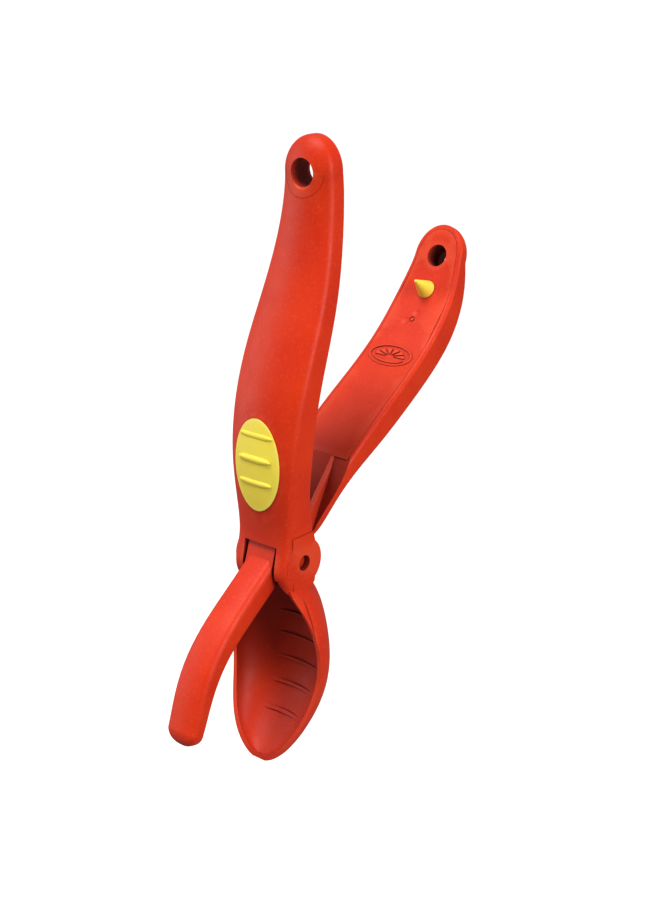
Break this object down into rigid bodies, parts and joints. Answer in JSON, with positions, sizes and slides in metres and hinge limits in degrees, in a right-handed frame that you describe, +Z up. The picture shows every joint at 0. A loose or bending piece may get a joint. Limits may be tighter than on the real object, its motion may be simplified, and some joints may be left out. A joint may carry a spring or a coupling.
{
  "type": "squeezing tongs",
  "caption": "Hand squeezing tongs: crossing plastic levers on a pivot, a curved finger jaw that presses food into a deep ribbed oval scoop, and handles with hanging holes.",
  "frame": {"origin": "middle of the hanging hole near the top of the front handle, on its axis", "axes": "+Z up the front handle away from the jaws, -Y out of the hanging hole towards the side the thumb pad faces, +X along the pivot to the user's right when the pad faces the user"},
  "size_m": [0.0362, 0.1322, 0.19],
  "materials": {
    "red_plastic": "fine-grained satin moulded plastic",
    "yellow_plastic": "smooth satin moulded plastic"
  },
  "bodies": {
    "front": {"front_lever": "red_plastic", "front_inner_plate": "red_plastic", "thumb_pad": "yellow_plastic", "pivot_pin": "red_plastic"},
    "rear": {"rear_lever": "red_plastic", "rear_inner_plate": "red_plastic", "piercing_cone": "yellow_plastic"}
  },
  "joints": [
    {"name": "pivot", "type": "hinge", "parent": "front", "child": "rear", "pos_m": [0, -0.0157, -0.1136], "axis": [1, 0, 0], "range_deg": [0, 31]}
  ]
}
